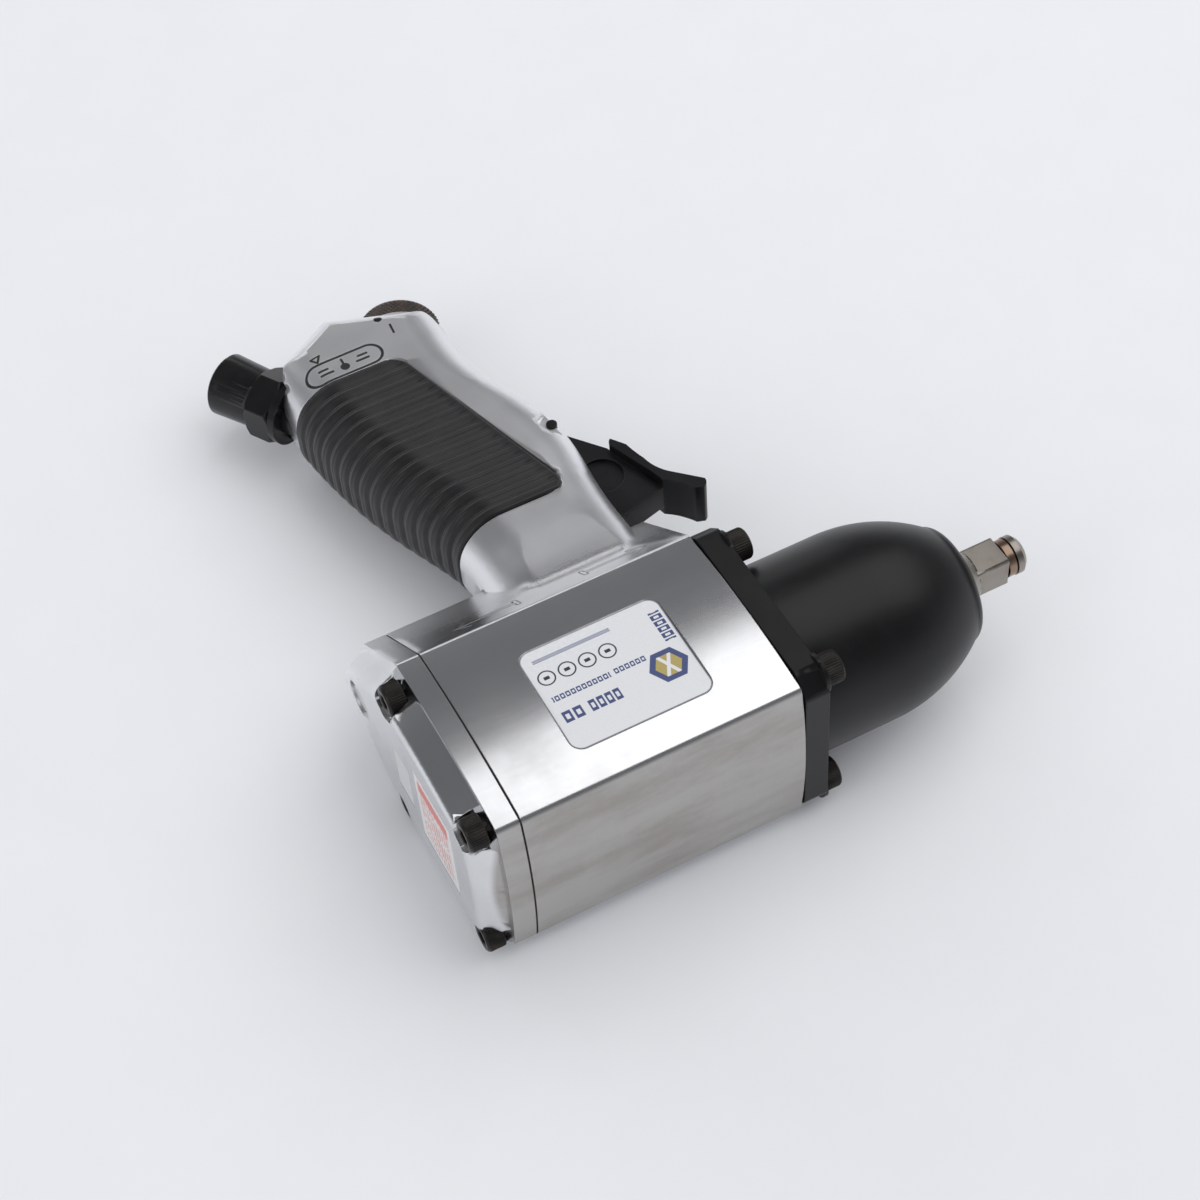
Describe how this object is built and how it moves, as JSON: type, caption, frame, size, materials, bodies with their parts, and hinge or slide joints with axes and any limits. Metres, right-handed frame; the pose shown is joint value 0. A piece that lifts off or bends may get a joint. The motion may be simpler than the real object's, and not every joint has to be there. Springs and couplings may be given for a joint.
{
  "type": "air impact wrench",
  "caption": "Pistol-grip air impact wrench with a square drive, twin rocking hammers, a vane motor, trigger, reverse valve, power regulator and threaded air inlet.",
  "frame": {"origin": "on the spindle axis at the shoulder where a socket seats", "axes": "+X along the spindle out of the drive, +Y towards the bottom of the handle, +Z to the tool's left side, which is up as the tool lies"},
  "size_m": [0.1699, 0.1973, 0.0552],
  "materials": {
    "cast_housing": "polished casting with a satin top",
    "grip_rubber": "matt ribbed rubber",
    "side_plate": "printed plate under a clear film",
    "gasket_fibre": "dark fibre sheet",
    "cast_cap": "polished casting",
    "rear_label": "printed label",
    "black_screw": "black oxide, knurled heads",
    "ground_steel": "ground",
    "bearing_steel": "polished",
    "liner_iron": "honed",
    "blade_composite": "resin composite",
    "hammer_steel": "hardened, dull",
    "drive_steel": "satin, worn square",
    "retainer_steel": "tempered brown",
    "seal_rubber": "soft seal",
    "case_black": "satin black",
    "bushing_bronze": "sintered bronze",
    "trigger_black": "glossy black",
    "black_pin": "black oxide",
    "valve_brass": "machined",
    "spring_steel": "music wire",
    "spool_steel": "ground",
    "knob_black": "black oxide, diamond knurl",
    "inlet_black": "glossy black",
    "screen_steel": "fine wire mesh"
  },
  "bodies": {
    "housing": {"motor_housing": "cast_housing", "rubber_grip": "grip_rubber", "nameplate": "side_plate", "rear_gasket": "gasket_fibre", "rear_cap": "cast_cap", "rear_labels": "rear_label", "rear_cap_screws": "black_screw", "rear_end_plate": "ground_steel", "rear_bearing": "bearing_steel", "front_end_plate": "ground_steel", "front_bearing": "bearing_steel", "cylinder_liner": "liner_iron", "liner_dowel": "ground_steel", "hammer_case": "case_black", "anvil_bushing": "bushing_bronze", "front_gasket": "gasket_fibre", "hammer_case_screws": "black_screw", "trigger_pivot_pin": "black_pin", "throttle_seat": "valve_brass", "throttle_spring": "spring_steel", "reverse_valve_bushing": "valve_brass", "regulator_roll_pin": "black_pin", "inlet_bushing": "inlet_black", "inlet_washer": "inlet_black", "inlet_screen": "screen_steel"},
    "rotor": {"rotor": "ground_steel", "rotor_blades": "blade_composite", "hammer_cage": "hammer_steel", "hammer_pins": "ground_steel"},
    "rear_hammer": {"rear_hammer": "hammer_steel"},
    "front_hammer": {"front_hammer": "hammer_steel"},
    "anvil": {"anvil": "drive_steel", "socket_retainer_ring": "retainer_steel", "retainer_o_ring": "seal_rubber"},
    "trigger": {"trigger": "trigger_black"},
    "throttle_valve": {"throttle_push_rod": "ground_steel", "throttle_valve": "valve_brass"},
    "reverse_valve": {"reverse_valve_spool": "spool_steel"},
    "regulator": {"regulator_knob": "knob_black", "regulator_o_ring": "seal_rubber"}
  },
  "joints": [
    {"name": "rotor_spin", "type": "hinge", "parent": "housing", "child": "rotor", "pos_m": [0, 0, 0], "axis": [1, 0, 0], "continuous": true},
    {"name": "rear_hammer_rock", "type": "hinge", "parent": "rotor", "child": "rear_hammer", "pos_m": [-0.053, -0.017, 0], "axis": [1, 0, 0], "range_deg": [-2, 2]},
    {"name": "front_hammer_rock", "type": "hinge", "parent": "rotor", "child": "front_hammer", "pos_m": [-0.0415, 0.017, 0], "axis": [1, 0, 0], "range_deg": [-2, 2]},
    {"name": "anvil_spin", "type": "hinge", "parent": "housing", "child": "anvil", "pos_m": [0, 0, 0], "axis": [1, 0, 0], "continuous": true},
    {"name": "trigger_pull", "type": "hinge", "parent": "housing", "child": "trigger", "pos_m": [-0.0741, 0.092, 0], "axis": [0, 0, -1], "range_deg": [0, 12], "stiffness_Nm_per_rad": 1.5, "springref_deg": -6.88},
    {"name": "throttle_slide", "type": "slide", "parent": "housing", "child": "throttle_valve", "axis": [-1, 0, 0], "range_m": [0, 0.0045], "deforming": ["throttle_spring"]},
    {"name": "reverse_slide", "type": "slide", "parent": "housing", "child": "reverse_valve", "axis": [1, 0, 0], "range_m": [-0.008, 0]},
    {"name": "regulator_turn", "type": "hinge", "parent": "housing", "child": "regulator", "pos_m": [-0.0906, 0.1588, 0], "axis": [0.3584, 0.9336, 0], "range_deg": [0, 270]}
  ],
  "couplings": [
    {"joint": "anvil_spin", "follows": "rotor_spin", "ratio": 1},
    {"joint": "throttle_slide", "follows": "trigger_pull", "m_per_rad": 0.02}
  ]
}
